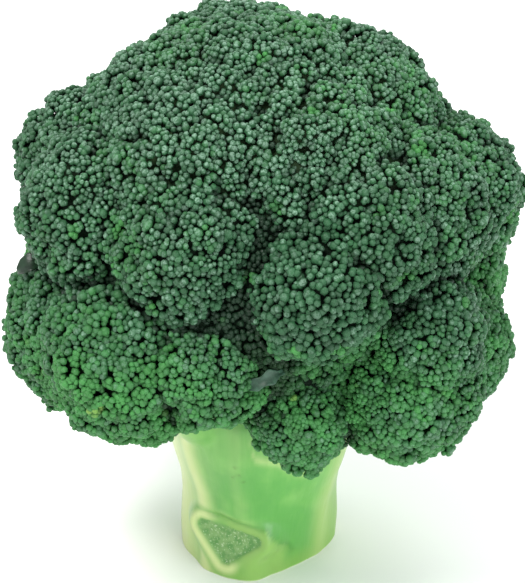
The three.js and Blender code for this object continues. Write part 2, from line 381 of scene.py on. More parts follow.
class StalkSettings(bpy.types.PropertyGroup):
    voxel: FloatProperty(
        name="Skin size", description="Size of the faces of the stalk's skin", default=0.95 * MM,
        unit="LENGTH",
    )
    flesh: FloatVectorProperty(
        name="Flesh", description="Green of the stalk's smooth skin", default=(0.116, 0.37, 0.06),
        subtype="COLOR",
    )
    # Painted light: this yellow green lightens the side of the stalk that the light catches, and also the
    # foot and the band by the scar
    light: FloatVectorProperty(
        name="Light flesh", description="Yellow green of the stalk's edges", default=(0.2, 0.41, 0.068),
        subtype="COLOR",
    )
    cream: FloatVectorProperty(
        name="Cream", description="Pale cream of the raised ribs", default=(0.56, 0.65, 0.28), subtype="COLOR"
    )
    pith: FloatVectorProperty(
        name="Pith", description="Grey green of the scar's rough pith", default=(0.1, 0.27, 0.065),
        subtype="COLOR",
    )


class LeafSettings(bpy.types.PropertyGroup):
    thickness: FloatProperty(
        name="Thickness", description="Thickness of the small leaves", default=0.6 * MM, unit="LENGTH"
    )
    pale: FloatVectorProperty(
        name="Pale leaf", description="Grey green of the front leaf", default=(0.043, 0.105, 0.066),
        subtype="COLOR",
    )
    dark: FloatVectorProperty(
        name="Dark leaf", description="Dark green of the left leaf", default=(0.012, 0.035, 0.016),
        subtype="COLOR",
    )


class StageSettings(bpy.types.PropertyGroup):
    floor: FloatVectorProperty(
        name="Floor", description="Colour of the floor", default=(0.93, 0.93, 0.92), subtype="COLOR"
    )
    key: FloatProperty(name="Key light", description="Power of the main light in watts", default=11.0)
    fill: FloatProperty(name="Fill light", description="Power of the fill light in watts", default=4.0)


# Buds

# Direction of the middle of the front, whose buds get painted shade as less bloom and less fresh green, and
# the edge of that part
SHADED_MIDDLE = heading(18, 10)
SHADED_MIDDLE_EDGE = (0.78, 0.95)

# Direction of the wide, lighter part of the crease above the small front floret, where the painted crease
# shade is weaker, and its edge
OPEN_CREASE = heading(25, -16)
OPEN_EDGE = (0.94, 0.98)

# Clusters: how far one strays as a share of the pitch, how radius and depth (mm) vary, how far
# down a floret they go in degrees, and how deep in the next floret one is left out
CLUSTER_WANDER = 0.09
CLUSTER_SIZES = (0.88, 1.12)
CLUSTER_SINK_SPREAD = 0.5
CLUSTER_DROOP = 112
CREST_DEPTH = 1 * MM
CREST_COVER = 1.5 * MM

# Clusters on the heart: how many are tried, their least gap to a floret, their lowest height, how
# much deeper than the others they sit and how much painted shade darkens them
HEART_TRIES = 420
HEART_GAP = -2.5 * MM
HEART_LOWEST = 68 * MM
HEART_DEPTH = 1.6 * MM
HEART_DARKNESS = 0.8

# Buds: how far one strays, how far down a cluster they go in degrees, how deep in the next cluster
# one is left out, how far one is sunk or raised in mm, and how it leans out of its tuft
BUD_WANDER = 0.04
BUD_DROOP = 80
BUD_COVER = 0.25 * MM
BUD_SINK = 0.2
BUD_LEAN = 0.6
NEIGHBOUR_REACH = 2.3

# Tufts: how sharp the gaps between them are, how far one stands below another, and the spread of
# the places that its own value is read at
TUFT_SHARPNESS = 3
TUFT_STEP = 0.5
TUFT_SPREAD = 97

# Size of the buds: its limits and usual value, the loss where the head is young, its slow wave and
# its loss there, and its spread from cluster to cluster
GROWTH_LIMITS = (0.8, 1.25)
GROWTH_USUAL = 1.04
GROWTH_YOUNG = 0.19
GROWTH_WAVE = (0.26, 0.1)
GROWTH_GRAIN = 24
GROWTH_SPREAD = 0.05

# Width of a bud: the gain where the head is young, its spread from bud to bud, its value at the top
# of a cluster and its gain down to the height that is named last
YOUNG_WIDTH = 0.16
WIDTH_SPREAD = 0.13
TOP_WIDTH = 0.93
WIDTH_GAIN = (0.12, 0.8)

# Heights in mm that the young part, the florets' rims, the low part and the top fade between, and
# the angle from a floret's stem, in degrees, that its rim fades between
YOUNG_HEIGHTS = (94, 114)
RIM_HEIGHTS = (84, 112)
RIM_ANGLES = (60, 100)
LOW_HEIGHTS = (88, 118)
TOP_HEIGHTS = (128, 160)
# Painted light on the top: how much more bloom its buds get
TOP_PAINTED_LIGHT = 1.5

# What makes a bud's green fresh: its usual value, the weights of its place on the head, of which the
# middle is painted shade, and how it varies from cluster to cluster and from bud to bud
FRESH = {"usual": 0.24, "rim": 0.36, "low": 0.32, "patch": 0.27, "tuft": 0.1, "middle": 0.2, "spot": 0.6}
FRESH_SPREADS = (0.05, 0.1)
PATCH_GRAINS = (28, 75)
FINE_PATCH = 0.8
SPOT_GRAIN = 125
SPOT_EDGE = (0.48, 0.62)

# Painted shade that darkens a bud: the weights of the groove between clusters, of its tuft, of the
# crease between florets and of its open part, and how far off and how widely groove and crease reach
CREASE_SHADE_WEIGHTS = {"groove": 0.4, "tuft": 0.4, "crease": 0.9, "open": 0.5}
GROOVE_LIFT = 3
GROOVE_REACH = (3 * MM, 0)
CREASE_LIFT = 8
CREASE_REACH = (5 * MM, -5 * MM)

# Form of a bud in half widths: height of its ring, of its shoulder and how far that draws in, and
# how far tip and foot stand out, and the limits of its stretch in width, depth and length
BUD_SIDES = 6
BUD_RING = -0.05
BUD_SHOULDER = 0.66
BUD_DRAW_IN = 0.7
BUD_TIP = 0.2
BUD_FOOT = -0.85
BUD_STRETCH = ((0.9, 1.1), (0.9, 1.1), (0.9, 1.15))

# Colours of the lightest tips, and of the painted shade at the foot of young and of waxy buds
BRIGHT_TIP = (0.2, 0.38, 0.07, 1)
YOUNG_FOOT = (0.018, 0.1, 0.02, 1)
WAXY_FOOT = (0.03, 0.07, 0.04, 1)


def place_clusters(draw, settings):
    """Clusters of buds over each floret and over the heart: name, centre, aim, radius, and the painted shade
    of those on the heart.
    """
    balls = floret_balls()
    clusters = []
    for name, (centre, radius) in balls.items():
        count = round(4 * math.pi * radius**2 / (HEXAGON_SHARE * settings.cluster_pitch**2))
        outward = (centre - CROWN_MIDDLE).to_track_quat("Z", "Y")
        stem = (centre - BRANCH_ROOT).normalized()
        others = [ball for other, ball in balls.items() if other != name]
        stray = settings.cluster_pitch * CLUSTER_WANDER / radius
        for seed in spiral(count):
            wander = Vector([draw.gauss(0, stray) for _ in range(3)])
            aim = (outward @ seed + wander).normalized()
            size = settings.cluster_radius * draw.uniform(*CLUSTER_SIZES)
            crest = centre + aim * (radius - CREST_DEPTH)
            hidden = any((crest - other).length < reach - CREST_COVER for other, reach in others)
            if aim.dot(stem) > math.cos(math.radians(CLUSTER_DROOP)) and not hidden:
                depth = settings.cluster_sink + draw.gauss(0, CLUSTER_SINK_SPREAD) * MM
                clusters.append((name, centre + aim * (radius - depth), aim, size, 0.0))
    return clusters + heart_clusters(balls, settings)


def heart_clusters(balls, settings):
    """Clusters in the creases, where the heart shows between the florets."""
    half = Vector((HEART_HALF[0], HEART_HALF[0], HEART_HALF[1])) * MM
    clusters = []
    for seed in spiral(HEART_TRIES):
        point = CROWN_MIDDLE + seed * half
        aim = Vector([seed[k] / half[k] for k in range(3)]).normalized()
        nearest = min(balls, key=lambda name: (point - balls[name][0]).length - balls[name][1])
        gap = (point - balls[nearest][0]).length - balls[nearest][1]
        if gap > HEART_GAP and point.z > HEART_LOWEST and not in_hollow(point):
            place = point - aim * (settings.cluster_sink + HEART_DEPTH)
            clusters.append((nearest, place, aim, settings.cluster_radius, HEART_DARKNESS))
    return clusters


def closeness(point, balls, margin, near):
    """How far a point lies into the balls near it, from 0 well outside to 1 inside them."""
    share = 0.0
    for centre, radius in balls:
        gap = (point - centre).length - radius
        if gap < margin:
            share = max(share, 1 - smooth(near, margin, gap))
    return share


def tuft_relief(point, aim, settings):
    """Depth of a bud between tufts, its way out from its tuft's middle, and a value of the tuft's own."""
    distances, places = noise.voronoi(point / settings.tuft_size)
    aside = point / settings.tuft_size - places[0]
    aside -= aim * aside.dot(aim)
    edge = min(1.0, distances[0] / max(distances[1], 1e-6))
    return edge**TUFT_SHARPNESS, aside, noise.cell(places[0] * TUFT_SPREAD)


def cluster_growth(place, draw):
    """How young the buds of a cluster are, and their size."""
    young = 1 - smooth(*YOUNG_HEIGHTS, place.z / MM)
    wave = (GROWTH_WAVE[0] - GROWTH_WAVE[1] * young) * noise.noise(place * GROWTH_GRAIN)
    growth = GROWTH_USUAL - GROWTH_YOUNG * young + wave + draw.gauss(0, GROWTH_SPREAD)
    return young, max(GROWTH_LIMITS[0], min(GROWTH_LIMITS[1], growth))


def place_freshness(point, rim_angle, own):
    """How fresh the buds are at a point, as far as height, rim, patches and tuft make it."""
    height = point.z / MM
    rim = smooth(*RIM_ANGLES, rim_angle) * (1 - smooth(*RIM_HEIGHTS, height))
    low = FRESH["low"] * (1 - smooth(*LOW_HEIGHTS, height))
    patch = noise.noise(point * PATCH_GRAINS[0]) + FINE_PATCH * noise.noise(point * PATCH_GRAINS[1])
    return FRESH["usual"] + FRESH["rim"] * rim + low + FRESH["patch"] * patch + FRESH["tuft"] * own


def place_buds(clusters, draw, settings):
    """Buds of every cluster that no neighbouring cluster covers, as rows of bud values."""
    index = kdtree.KDTree(len(clusters))
    for i, cluster in enumerate(clusters):
        index.insert(cluster[1], i)
    index.balance()
    balls = floret_balls()
    buds = []
    for i, (name, place, aim, size, heart_shade) in enumerate(clusters):
        found = index.find_range(place, NEIGHBOUR_REACH * size)
        near = [(clusters[j][1], clusters[j][3]) for _, j, _ in found if j != i]
        young, growth = cluster_growth(place, draw)
        count = round(4 * math.pi * size**2 / (HEXAGON_SHARE * (settings.pitch * growth) ** 2))
        turn = aim.to_track_quat("Z", "Y")
        lively = draw.gauss(0, FRESH_SPREADS[0])
        centre = balls[name][0]
        stem = (centre - BRANCH_ROOT).normalized()
        others = [ball for other, ball in balls.items() if other != name]
        for seed in spiral(count):
            if seed.z < math.cos(math.radians(BUD_DROOP)):
                break
            wander = Vector([draw.gauss(0, BUD_WANDER) for _ in range(3)])
            out = (turn @ (seed + wander)).normalized()
            point = place + out * size
            if any((point - other).length < reach - BUD_COVER for other, reach in near):
                continue
            depth, aside, own = tuft_relief(point, out, settings)
            sink = settings.tuft_depth * (depth + TUFT_STEP * own) + draw.uniform(-BUD_SINK, BUD_SINK) * MM
            outward = (point - CROWN_MIDDLE).normalized()
            # Painted shade on the middle of the front: less bloom and less fresh green there
            middle = smooth(*SHADED_MIDDLE_EDGE, outward.dot(SHADED_MIDDLE))
            width = growth * (1 + YOUNG_WIDTH * young) * draw.lognormvariate(0, WIDTH_SPREAD)
            # Tone varies at random, with painted light on the top and painted shade on the middle of the
            # front
            tone = draw.gauss(0, 1) + TOP_PAINTED_LIGHT * smooth(*TOP_HEIGHTS, point.z / MM) - middle
            fresh = place_freshness(point, math.degrees((point - centre).angle(stem)), own)
            fresh = fresh + lively + draw.gauss(0, FRESH_SPREADS[1]) - FRESH["middle"] * middle
            spot = FRESH["spot"] * smooth(*SPOT_EDGE, noise.noise(point * SPOT_GRAIN))
            # Painted shade where a bud lies in a groove, between tufts or in a crease, weaker where the
            # crease opens
            groove = closeness(point + out * GROOVE_LIFT * MM, near, *GROOVE_REACH)
            crease = closeness(point + out * CREASE_LIFT * MM, others, *CREASE_REACH)
            deep = heart_shade + CREASE_SHADE_WEIGHTS["groove"] * groove + CREASE_SHADE_WEIGHTS["tuft"] * depth + CREASE_SHADE_WEIGHTS["crease"] * crease
            open_crease = smooth(*OPEN_EDGE, outward.dot(OPEN_CREASE))
            buds.append(
                {
                    "piece": name,
                    "place": point - out * sink - aside * (settings.tuft_pull * settings.tuft_size),
                    "aim": (out + aside * BUD_LEAN).normalized(),
                    "size": width * (TOP_WIDTH + WIDTH_GAIN[0] * (1 - seed.z) / WIDTH_GAIN[1]),
                    "tone": tone,
                    "fresh": fresh + spot,
                    "deep": min(1.0, deep) * (1 - CREASE_SHADE_WEIGHTS["open"] * open_crease),
                }
            )
    return buds


def bud_template(settings):
    """One closed bud, six sided, round at the tip and pointed at the foot, along +Z."""
    bm = bmesh.new()
    ring_place = Matrix.Translation((0, 0, BUD_RING))
    bmesh.ops.create_circle(bm, cap_ends=True, segments=BUD_SIDES, radius=1, matrix=ring_place)
    face = bm.faces[:][0]
    grown = bmesh.ops.extrude_face_region(bm, geom=[face])["geom"]
    ring = [part for part in grown if isinstance(part, bmesh.types.BMVert)]
    shoulder = next(part for part in grown if isinstance(part, bmesh.types.BMFace))
    bmesh.ops.translate(bm, verts=ring, vec=(0, 0, BUD_SHOULDER))
    bmesh.ops.scale(bm, verts=ring, vec=(BUD_DRAW_IN, BUD_DRAW_IN, 1))
    for end, rise in ((shoulder, BUD_TIP), (face, BUD_FOOT)):
        point = bmesh.ops.poke(bm, faces=[end])["verts"]
        bmesh.ops.translate(bm, verts=point, vec=(0, 0, rise))
    bmesh.ops.recalc_face_normals(bm, faces=bm.faces[:])
    low = min(vert.co.z for vert in bm.verts)
    high = max(vert.co.z for vert in bm.verts)
    tips = float_layer(bm, "tip")
    for vert in bm.verts:
        vert[tips] = (vert.co.z - low) / (high - low)
        vert.co.z *= settings.length
        vert.co *= settings.width / 2
    for shared in bm.faces:
        shared.smooth = True
    template = add_object("bud_template", mesh_from(bm, "bud_template"))
    template.hide_render = True
    return template


def bud_spreader(template):
    """Geometry nodes that put a bud on every point, turned and sized by the point's values."""
    tree = bpy.data.node_groups.new("Spread buds", "GeometryNodeTree")
    tree.interface.new_socket("Geometry", in_out="INPUT", socket_type="NodeSocketGeometry")
    tree.interface.new_socket("Geometry", in_out="OUTPUT", socket_type="NodeSocketGeometry")
    entry, leave = tree.nodes.new("NodeGroupInput"), tree.nodes.new("NodeGroupOutput")
    bud = add_node(tree, "GeometryNodeObjectInfo", {"Object": template})
    turn, size = (
        add_node(tree, "GeometryNodeInputNamedAttribute", {"Name": name}, data_type="FLOAT_VECTOR")
        for name in ("turn", "size")
    )
    rotation = add_node(tree, "FunctionNodeEulerToRotation", {0: turn.outputs["Attribute"]})
    ends = {
        "Points": entry.outputs[0],
        "Instance": bud.outputs["Geometry"],
        "Rotation": rotation.outputs[0],
        "Scale": size.outputs["Attribute"],
    }
    spread = add_node(tree, "GeometryNodeInstanceOnPoints", ends)
    real = add_node(tree, "GeometryNodeRealizeInstances", {"Geometry": spread.outputs["Instances"]})
    tree.links.new(real.outputs["Geometry"], leave.inputs[0])
    return tree


def bud_piece(name, buds, tree, material, draw):
    """One piece of real buds from bud values."""
    bm = bmesh.new()
    turn = bm.verts.layers.float_vector.new("turn")
    size = bm.verts.layers.float_vector.new("size")
    layers = {label: float_layer(bm, label) for label in ("tone", "fresh", "deep")}
    for bud in buds:
        vert = bm.verts.new(bud["place"])
        spin = Matrix.Rotation(draw.uniform(0, math.tau), 3, "Z")
        vert[turn] = Vector((bud["aim"].to_track_quat("Z", "Y").to_matrix() @ spin).to_euler())
        vert[size] = bud["size"] * Vector([draw.uniform(*limits) for limits in BUD_STRETCH])
        for label, layer in layers.items():
            vert[layer] = bud[label]
    piece = add_object(name, mesh_from(bm, name))
    piece.modifiers.new("Buds", "NODES").node_group = tree
    apply_all(piece)
    for spent in ("turn", "size"):
        if spent in piece.data.attributes:
            piece.data.attributes.remove(piece.data.attributes[spent])
    piece.data.materials.clear()
    piece.data.materials.append(material)
    return piece


def bud_material(settings):
    """Waxy flower buds: painted shade at the foot and in creases, pale bloom at the tip that is partly a
    painted highlight, livelier green where they are young.
    """
    material, tree, surface = begin_material("Bud skin", {"Specular IOR Level": 0.28})
    mottle = use_group(tree, mottle_group(), {"Scale": 160.0, "Grain": 1500.0})
    grain = mottle.outputs["Grain"]
    tip, tone, fresh, deep = (painted(tree, name) for name in ("tip", "tone", "fresh", "deep"))
    young = ranged(tree, fresh, 0.05, 0.95)
    old = arithmetic(tree, "SUBTRACT", 1.0, young)
    body = mix_colours(tree, young, opaque(settings.body), opaque(settings.fresh))
    # Pale bloom at the tip, partly wax and partly a painted highlight, speckled by the grain
    waxy = arithmetic(tree, "MULTIPLY", ranged(tree, tip, 0.72, 1.0), old)
    waxy = arithmetic(tree, "MULTIPLY", waxy, ranged(tree, tone, -2.0, 2.4))
    speckled = arithmetic(tree, "MULTIPLY", waxy, ranged(tree, grain, 0.38, 0.62, 0.2, 1.45))
    lit = mix_colours(tree, speckled, body, opaque(settings.bloom))
    bright = arithmetic(tree, "MULTIPLY", ranged(tree, fresh, 1.15, 1.6), ranged(tree, tip, 0.5, 1.0))
    lit = mix_colours(tree, bright, lit, BRIGHT_TIP)
    # Painted shade at each bud's foot, lighter on young and on waxy buds
    foot = mix_colours(tree, young, opaque(settings.shade), YOUNG_FOOT)
    foot = mix_colours(tree, ranged(tree, tone, 0.3, 2.3), foot, WAXY_FOOT)
    whole = mix_colours(tree, ranged(tree, tip, 0.15, 0.68), foot, lit)
    # Painted shade of grooves, tufts, creases and the heart's clusters, mixed towards the dark shade colour
    shaded = ranged(tree, deep, 0.1, 1.0, 0.0, 0.85)
    sunk = mix_colours(tree, shaded, whole, opaque(settings.shade))
    uneven = ranged(tree, mottle.outputs["Mask"], 0.0, 1.0, 0.78, 1.12)
    varied = add_node(tree, "ShaderNodeHueSaturation", {"Color": sunk, "Value": uneven})
    rough = ranged(tree, grain, 0.3, 0.7, 0.42, 0.66)
    feed(tree, surface, {"Base Color": varied.outputs["Color"], "Roughness": rough})
    add_bump(tree, surface, grain, strength=0.9, distance=0.35 * MM)
    return material


class BROCCOLI_OT_buds(bpy.types.Operator):
    """Cover every floret with buds, grouped in clusters and tufts"""

    bl_idname = "broccoli.buds"
    bl_label = "Buds"

    def execute(self, context):
        settings = context.scene.broccoli_buds
        draw = random.Random(settings.seed)
        buds = place_buds(place_clusters(draw, settings), draw, settings)
        template = bud_template(settings)
        tree = bud_spreader(template)
        material = bud_material(settings)
        for name, florets in BUD_PIECES.items():
            own = [bud for bud in buds if bud["piece"] in florets]
            piece = bud_piece(name, own, tree, material, draw)
            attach(piece, "root")
            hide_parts("crown")
        bpy.data.objects.remove(template)
        bpy.data.node_groups.remove(tree)
        return {"FINISHED"}


# Heart

# Depth of the heart under the florets' round forms, the size of its faces and the hollow's steps
HEART_SINK = 2.8 * MM
HEART_VOXEL = 2.5 * MM
HOLLOW_STEPS = 48

# Underside: the distance out and the height in mm that it fades between, and how far it faces down
UNDER_OUT = (44, 52)
UNDER_HEIGHTS = (74, 84)
UNDER_TURN = (0.1, 0.6)

# Top: the heights in mm that it grows a little lighter between, as painted light, and how much
LIGHT_TOP_HEIGHTS = (132, 155)
LIGHT_TOP = 0.07

# Darker and lighter colour of the shadowed part, nearly black as painted shade, and of the underside
HEART_COLOURS = ((0.002, 0.006, 0.003, 1), (0.006, 0.02, 0.008, 1))
UNDER_COLOURS = ((0.09, 0.2, 0.05, 1), (0.2, 0.36, 0.1, 1))


def heart_material():
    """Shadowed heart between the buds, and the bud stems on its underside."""
    ends = {"Roughness": 0.75, "Specular IOR Level": 0.15}
    material, tree, surface = begin_material("Shadowed heart", ends)
    mottle = use_group(tree, mottle_group(), {"Scale": 260.0, "Grain": 1400.0})
    dark = mix_colours(tree, mottle.outputs["Mask"], *HEART_COLOURS)
    under = mix_colours(tree, mottle.outputs["Mask"], *UNDER_COLOURS)
    # The under mask mixes in the stems' own green on the underside and painted light on the top
    feed(tree, surface, {"Base Color": mix_colours(tree, painted(tree, "under"), dark, under)})
    add_bump(tree, surface, mottle.outputs["Grain"], strength=0.8, distance=0.6 * MM)
    return material


def hollow_body():
    """Solid of revolution below the crown."""
    bm = bmesh.new()
    profile = [(0, HOLLOW_FLOOR), (HOLLOW_CEILING[-1][0], HOLLOW_FLOOR), *reversed(HOLLOW_CEILING)]
    verts = [bm.verts.new((out * MM, 0, height * MM)) for out, height in profile]
    edges = [bm.edges.new(pair) for pair in zip(verts, verts[1:])]
    bmesh.ops.spin(
        bm, geom=verts + edges, axis=(0, 0, 1), cent=(0, 0, 0), angle=math.tau, steps=HOLLOW_STEPS,
        use_merge=True,
    )
    bmesh.ops.remove_doubles(bm, verts=bm.verts[:], dist=TOUCHING)
    bmesh.ops.recalc_face_normals(bm, faces=bm.faces[:])
    return add_object("hollow_body", mesh_from(bm, "hollow_body"))


class BROCCOLI_OT_heart(bpy.types.Operator):
    """Build the dark heart that the buds stand on"""

    bl_idname = "broccoli.heart"
    bl_label = "Heart"

    def execute(self, context):
        bm = bmesh.new()
        for centre, radius in floret_balls().values():
            place = Matrix.Translation(centre)
            bmesh.ops.create_icosphere(bm, subdivisions=4, radius=radius - HEART_SINK, matrix=place)
        flat, tall = (half * MM - HEART_SINK for half in HEART_HALF)
        place = Matrix.Translation(CROWN_MIDDLE) @ Matrix.Diagonal((flat, flat, tall, 1))
        bmesh.ops.create_icosphere(bm, subdivisions=5, radius=1, matrix=place)
        heart = add_object("crown_heart", mesh_from(bm, "crown_heart"))
        remeshed(heart, voxel=HEART_VOXEL, smoothing=2)
        hollow = hollow_body()
        cut = heart.modifiers.new("Hollow", "BOOLEAN")
        cut.operation = "DIFFERENCE"
        cut.solver = "EXACT"
        cut.object = hollow
        apply_all(heart)
        bpy.data.objects.remove(hollow)
        shade_under(heart)
        heart.data.materials.append(heart_material())
        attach(heart, "root")
        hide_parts("crown")
        return {"FINISHED"}


def shade_under(heart):
    """Marks the heart's underside, and as painted light a little of its top, for the material's lighter
    colour.
    """
    bm = bmesh.new()
    bm.from_mesh(heart.data)
    under = float_layer(bm, "under")
    for vert in bm.verts:
        height = vert.co.z / MM
        inside = 1 - smooth(*UNDER_OUT, math.hypot(vert.co.x, vert.co.y) / MM)
        vert[under] = smooth(*UNDER_TURN, -vert.normal.z) * inside * (1 - smooth(*UNDER_HEIGHTS, height))
        vert[under] += LIGHT_TOP * smooth(*LIGHT_TOP_HEIGHTS, height)
    bm.to_mesh(heart.data)
    bm.free()


# Stalk

# Half width in mm at each height, half width of the foot at each bearing, and where that fades out
STALK_PROFILE = (
    (-4, 23), (0, 23), (8, 23.3), (20, 23.3), (28, 24.2), (36, 26.4), (46, 28.5), (56, 28.5), (66, 25),
    (72, 22),
)
FOOT_SECTION = (
    (-180, 23), (-97, 24.5), (-60, 23.2), (-26, 25), (-3, 24.2), (8, 21), (28, 19), (50, 18.8), (68, 20),
    (92, 23), (130, 23.5), (180, 23),
)
FOOT_HEIGHT = 34
TRUNK_SIDES = 96
TRUNK_STEP = 2

# Stub of the cut leaf stalk: its distance out, half width and half height in mm
STUB_OUT = 13.5
STUB_HALF = (13, 14)

# Branches go to the florets below a rise. Their start is a distance out and a height, their bends
# are shares of the floret's distance out and heights, and they stop short of its middle by a share
# of its radius. Their own radii in mm stand last
BRANCH_RISE = -17
BRANCH_START = (9, 40)
BRANCH_BENDS = ((0.42, 53), (0.69, 67))
BRANCH_STOP = 0.35
BRANCH_GIRTHS = (9.5, 9.025, 7.7, 7)

# Ribs up the stalk: bearing, width in degrees, height in mm and how pale each is
RIBS = (
    (-75, 26, 0.6, 1.0), (-45.5, 8, 0.7, 0.95), (-14, 5, 0.2, 0.12), (64, 12, 0.4, 0.3),
    (108, 8, 0.7, 0.5), (150, 9, 0.6, 0.3), (-150, 9, 0.8, 0.6), (-118, 8, 0.6, 0.5),
)

# Ribs stray from side to side in a long and an uneven wave, each in degrees over mm of height, and
# lie only on the trunk, away from the branches: in mm out of it and in height
RIB_WAVE = (3, 15)
RIB_UNEVEN = (5, 14)
TRUNK_EDGE = (-4, -1.5)
TRUNK_TOP = (64, 80)

# Axil: the soft ridge below the small floret's branch, as bearing and height, its width and lift in
# mm, how pale it is, and the bearings that it starts and ends between
AXIL_RIDGE = ((-8, 55), (-4, 47), (9, 45.5), (27, 39), (45, 37))
AXIL_WIDTH = 1.5
AXIL_LIFT = 0.3
AXIL_PALE = 0.4
AXIL_START = (-9, -4)
AXIL_END = (36, 48)

# Small blemishes: bearing, height and radius in mm, their dark core in mm and how dark they are
BLEMISHES = ((-16, 43, 0.9), (-14, 40, 1.0), (-18, 39, 0.8), (-12, 37.5, 0.7), (60, 15.5, 1.1))
BLEMISH_CORE = 0.2
BLEMISH_SHADE = 0.8

# Lighter skin: painted light on the side that the light catches, in bearings, and the foot, in mm of height
LIGHT_SIDE = ((40, 66), (100, 125))
LIGHT_FOOT = (1, 9)
LIGHT_FOOT_SHARE = 0.75

# Scar: its middle, the lean of its face, and the corners of the rounded shield, across and up, in mm
SCAR_BEARING = -24
SCAR_OUT = 23.2
SCAR_HEIGHT = 13
SCAR_LEAN = 6
SCAR_CORNERS = ((-8.9, 3.3), (8.3, 1.5), (-1.2, -6.6))
SCAR_ROUND = 2.4
SCAR_ARCH = ((-14, 5), (-8.5, 7.4), (-3.3, 8), (1, 6.6), (6, 6.2), (11.5, 5.6), (14.1, 1.5), (15.5, -5))

# How far the scar reaches aside and behind its face, and how its flat face turns round, in mm
SCAR_SPREAD = 19
SCAR_BACK = -14
SCAR_FLAT = (1.6, 5.5)

# The scar's left, along a leaning line: the lean, and the mm that it fades between
SCAR_LEFT_LEAN = 0.6
SCAR_LEFT = (-5, 2)

# Rim in mm: its distance outside the shield, width, lift and paleness, each with its gain on the left
SCAR_RIM_AWAY = 1.2
SCAR_RIM_WIDTH = (0.9, 0.8)
SCAR_RIM_LIFT = (0.16, 0.34)
SCAR_RIM_PALE = (0.5, 1.5)

# Groove along the arch, and the soft fold above it, as width and depth or lift in mm. The groove gets painted
# shade, and the fold's pale mark is a painted highlight
SCAR_GROOVE = (0.8, 0.32)
SCAR_GROOVE_SHADE = 1.5
SCAR_FOLD = (1.2, 0.2)
SCAR_FOLD_AWAY = Vector((0.5, 1.7))
SCAR_FOLD_END = (5, 11)

# Rough pith in mm: its edge, depth and roughness, with weights and scales of its grain, and the
# dark line round it as distance, width and strength
PITH_EDGE = (-1.0, -0.2)
PITH_DEPTH = 0.55
PITH_ROUGH = 0.3
PITH_GRAINS = ((1.0, 900), (0.6, 2100))
PITH_LINE = (0.3, 0.35, 0.7)

# Band of lighter skin between the scar and the arch, in mm: where it ends below the arch and at the
# right, where it starts along a leaning line, and how pale and how light it is
SCAR_BAND_TOP = (-0.5, 0.9)
SCAR_BAND_RIGHT = (13, 16)
SCAR_BAND_LEAN = 0.4
SCAR_BAND_LEFT = (-5, 4)
SCAR_BAND_PALE = 0.12
SCAR_BAND_LIGHT = 0.85

# Colours that vary the skin, the darker skin of blemishes, of the line round the pith and of the painted
# shade in the scar's groove, the flecks of the pith and the cut foot
FIBRE_GREEN = (0.17, 0.43, 0.09, 1)
PATCH_GREEN = (0.075, 0.32, 0.05, 1)
SHADED_GREEN = (0.07, 0.22, 0.03, 1)
PITH_GREEN = (0.21, 0.37, 0.13, 1)
PITH_FLECK = (0.5, 0.62, 0.38, 1)
CUT_FACE = (0.6, 0.72, 0.4, 1)
SKIN_ROUGHNESS = 0.38
PITH_ROUGHNESS = 0.8


def stalk_reach(height, bearing):
    """Half width of the stalk at a height and a bearing, in mm."""
    foot = between(FOOT_SECTION, bearing) - between(STALK_PROFILE, 0)
    return between(STALK_PROFILE, height) + foot * (1 - smooth(0, FOOT_HEIGHT, height))


def trunk(bm):
    """Main stalk as a closed barrel, with a stub at the scar."""
    bottom, top = STALK_PROFILE[0][0], STALK_PROFILE[-1][0]
    place = Matrix.Translation((0, 0, (top + bottom) / 2))
    bmesh.ops.create_cone(
        bm, cap_ends=True, segments=TRUNK_SIDES, radius1=1, radius2=1, depth=top - bottom, matrix=place
    )
    for height in range(bottom + TRUNK_STEP, top, TRUNK_STEP):
        geometry = bm.verts[:] + bm.edges[:] + bm.faces[:]
        bmesh.ops.bisect_plane(bm, geom=geometry, plane_co=(0, 0, height), plane_no=(0, 0, 1))
    for vert in bm.verts:
        reach = stalk_reach(vert.co.z, bearing_of(vert.co))
        vert.co = Vector((vert.co.x * reach, vert.co.y * reach, vert.co.z)) * MM
    wide, tall = (half * MM for half in STUB_HALF)
    place = heading(SCAR_BEARING, 0) * STUB_OUT * MM + Vector((0, 0, SCAR_HEIGHT * MM))
    shape = Matrix.Translation(place) @ Matrix.Diagonal((wide, wide, tall, 1))
    bmesh.ops.create_icosphere(bm, subdivisions=4, radius=1, matrix=shape)


def tube_mesh(name, runs, sides):
    """Mesh of tapered round tubes along smooth lines: each run is a list of points and radii."""
    curve = bpy.data.curves.new(name, "CURVE")
    curve.dimensions = "3D"
    curve.bevel_depth = 1.0
    curve.bevel_resolution = max(0, sides // 2 - 2)
    curve.use_fill_caps = True
    curve.resolution_u = 3
    for run in runs:
        line = curve.splines.new("NURBS")
        line.points.add(len(run) - 1)
        for spot, (point, radius) in zip(line.points, run):
            spot.co = (*point, 1)
            spot.radius = radius
        line.order_u = 3
        line.use_endpoint_u = True
    piece = add_object(name, curve)
    graph = bpy.context.evaluated_depsgraph_get()
    mesh = bpy.data.meshes.new_from_object(piece.evaluated_get(graph), depsgraph=graph)
    bpy.data.objects.remove(piece)
    bpy.data.curves.remove(curve)
    return mesh


def low_florets(highest):
    """Bearing, centre and radius of the florets below a rise."""
    balls = floret_balls()
    for name, (bearing, rise, _, _) in FLORETS.items():
        if rise < highest:
            yield (bearing, *balls[name])


def branch_runs():
    """Main branches from the stalk into the low florets."""
    for bearing, centre, radius in low_florets(BRANCH_RISE):
        out = math.hypot(centre.x, centre.y) / MM
        bends = [(out * share, height) for share, height in BRANCH_BENDS]
        stops = (BRANCH_START, *bends, (out - BRANCH_STOP * radius / MM, centre.z / MM))
        yield [
            (heading(bearing, 0) * away * MM + Vector((0, 0, height * MM)), girth * MM)
            for (away, height), girth in zip(stops, BRANCH_GIRTHS)
        ]


